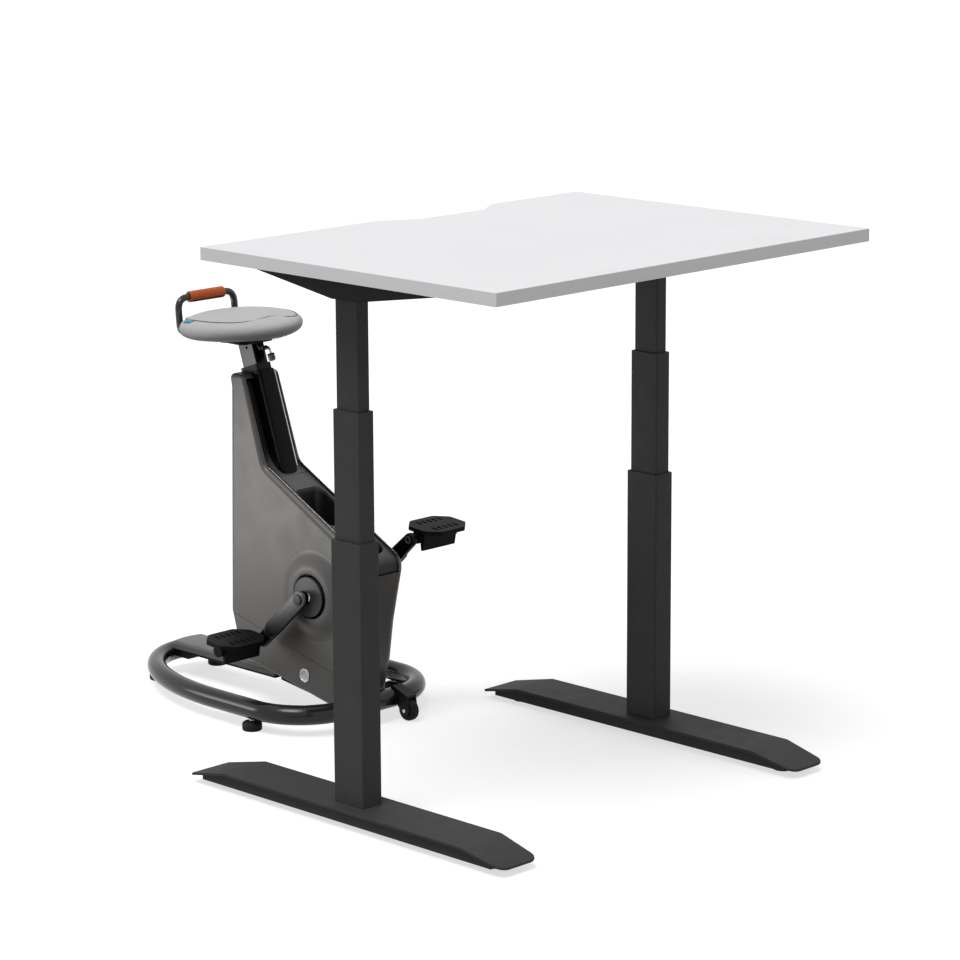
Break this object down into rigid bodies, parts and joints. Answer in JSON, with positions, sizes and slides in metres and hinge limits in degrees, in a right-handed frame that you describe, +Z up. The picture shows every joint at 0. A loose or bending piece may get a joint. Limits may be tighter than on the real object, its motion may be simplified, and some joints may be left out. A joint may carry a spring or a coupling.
{
  "type": "bike trainer desk",
  "caption": "Height-adjustable desk with a white top on two telescopic legs, and a compact exercise bike on a tube loop under its shallow cut-out.",
  "frame": {"origin": "on the floor, under the middle of the whole part's plan", "axes": "+Z up, +Y towards the rider's back, so that the rider faces -Y; +X is the rider's left"},
  "size_m": [1.04, 1.5836, 1.094],
  "materials": {
    "white_board": "satin white laminate",
    "dark_paint": "dark grey powder coat",
    "black_paint": "black powder coat",
    "black_plastic": "black, fine grain",
    "gloss_black": "glossy black",
    "grey_shell": "satin metallic grey",
    "dark_plastic": "dark grey, satin",
    "light_plastic": "light grey, satin",
    "bare_steel": "machined",
    "flywheel_iron": "turned",
    "grey_tube": "satin dark grey paint",
    "motor_housing": "painted die casting",
    "tan_leather": "stitched tan leather",
    "saddle_cover": "pale grey smooth leather",
    "black_rubber": "matt"
  },
  "bodies": {
    "desk_base": {"right_foot": "dark_paint", "right_front_pad": "black_rubber", "right_rear_pad": "black_rubber", "right_outer_column": "dark_paint", "right_lower_guide": "black_plastic", "left_foot": "dark_paint", "left_front_pad": "black_rubber", "left_rear_pad": "black_rubber", "left_outer_column": "dark_paint", "left_lower_guide": "black_plastic"},
    "desk_top": {"desktop": "white_board", "cross_rails": "black_paint", "control_box": "black_plastic", "handset": "black_plastic", "right_side_bracket": "black_paint", "right_lift_motor": "motor_housing", "right_inner_column": "dark_paint", "left_side_bracket": "black_paint", "left_lift_motor": "motor_housing", "left_inner_column": "dark_paint"},
    "right_middle_stage": {"right_middle_column": "dark_paint", "right_upper_guide": "black_plastic"},
    "left_middle_stage": {"left_middle_column": "dark_paint", "left_upper_guide": "black_plastic"},
    "up_button": {"up_key": "light_plastic"},
    "down_button": {"down_key": "light_plastic"},
    "bike_body": {"base_loop": "grey_tube", "rear_bridge": "light_plastic", "main_frame": "black_paint", "crank_bearing": "bare_steel", "lower_skirt": "grey_shell", "deck_cover": "dark_plastic", "channel_liner": "black_plastic", "slide_cover": "gloss_black", "post_collar": "black_plastic", "drive_belt": "black_rubber", "right_front_levelling_foot": "black_rubber", "right_rear_levelling_foot": "black_rubber", "right_caster_fork": "black_plastic", "right_side_shell": "grey_shell", "left_front_levelling_foot": "black_rubber", "left_rear_levelling_foot": "black_rubber", "left_caster_fork": "black_plastic", "left_side_shell": "grey_shell"},
    "right_wheel": {"right_caster_wheel": "black_rubber"},
    "left_wheel": {"left_caster_wheel": "black_rubber"},
    "seat": {"seat_post": "black_paint", "saddle": "saddle_cover", "carry_handle": "black_paint", "handle_grip": "tan_leather"},
    "seat_lever": {"height_lever": "grey_shell"},
    "crankset": {"crank_spindle": "bare_steel", "drive_pulley": "dark_plastic", "right_hub_disc": "grey_shell", "right_crank_arm": "black_paint", "left_hub_disc": "grey_shell", "left_crank_arm": "black_paint"},
    "right_pedal_body": {"right_pedal": "black_plastic"},
    "left_pedal_body": {"left_pedal": "black_plastic"},
    "flywheel_body": {"flywheel": "flywheel_iron"}
  },
  "joints": [
    {"name": "desk_lift", "type": "slide", "parent": "desk_base", "child": "desk_top", "axis": [0, 0, 1], "range_m": [-0.4, 0.16]},
    {"name": "right_middle_slide", "type": "slide", "parent": "desk_base", "child": "right_middle_stage", "axis": [0, 0, 1], "range_m": [-0.2, 0.08]},
    {"name": "left_middle_slide", "type": "slide", "parent": "desk_base", "child": "left_middle_stage", "axis": [0, 0, 1], "range_m": [-0.2, 0.08]},
    {"name": "up_key_press", "type": "slide", "parent": "desk_top", "child": "up_button", "axis": [0, -1, 0], "range_m": [0, 0.002], "stiffness_N_per_m": 300, "springref_m": -0.001},
    {"name": "down_key_press", "type": "slide", "parent": "desk_top", "child": "down_button", "axis": [0, -1, 0], "range_m": [0, 0.002], "stiffness_N_per_m": 300, "springref_m": -0.001},
    {"name": "bike_roll", "type": "slide", "parent": "desk_base", "child": "bike_body", "axis": [0, 1, 0], "range_m": [-0.3, 0.2]},
    {"name": "right_wheel_spin", "type": "hinge", "parent": "bike_body", "child": "right_wheel", "pos_m": [-0.0015, 0.11125, 0.023], "axis": [1, 0, 0], "continuous": true},
    {"name": "left_wheel_spin", "type": "hinge", "parent": "bike_body", "child": "left_wheel", "pos_m": [0.1385, 0.11125, 0.023], "axis": [1, 0, 0], "continuous": true},
    {"name": "seat_height", "type": "slide", "parent": "bike_body", "child": "seat", "axis": [0, 0.3173, 0.9483], "range_m": [-0.03, 0.12]},
    {"name": "height_lever_lift", "type": "hinge", "parent": "seat", "child": "seat_lever", "pos_m": [0.0685, 0.46975, 0.7635], "axis": [-1, 0, 0], "range_deg": [0, 30], "stiffness_Nm_per_rad": 0.4, "springref_deg": -11.46},
    {"name": "crank_turn", "type": "hinge", "parent": "bike_body", "child": "crankset", "pos_m": [0.0685, 0.25575, 0.27], "axis": [1, 0, 0], "continuous": true},
    {"name": "right_pedal_spin", "type": "hinge", "parent": "crankset", "child": "right_pedal_body", "pos_m": [-0.0415, 0.38209, 0.15625], "axis": [1, 0, 0], "continuous": true},
    {"name": "left_pedal_spin", "type": "hinge", "parent": "crankset", "child": "left_pedal_body", "pos_m": [0.1785, 0.12942, 0.38375], "axis": [1, 0, 0], "continuous": true},
    {"name": "flywheel_spin", "type": "hinge", "parent": "bike_body", "child": "flywheel_body", "pos_m": [0.0685, 0.44575, 0.33], "axis": [1, 0, 0], "continuous": true}
  ],
  "couplings": [
    {"joint": "right_middle_slide", "follows": "desk_lift", "ratio": 0.5},
    {"joint": "left_middle_slide", "follows": "desk_lift", "ratio": 0.5},
    {"joint": "flywheel_spin", "follows": "crank_turn", "ratio": 4},
    {"joint": "right_pedal_spin", "follows": "crank_turn", "ratio": -1},
    {"joint": "left_pedal_spin", "follows": "crank_turn", "ratio": -1}
  ]
}
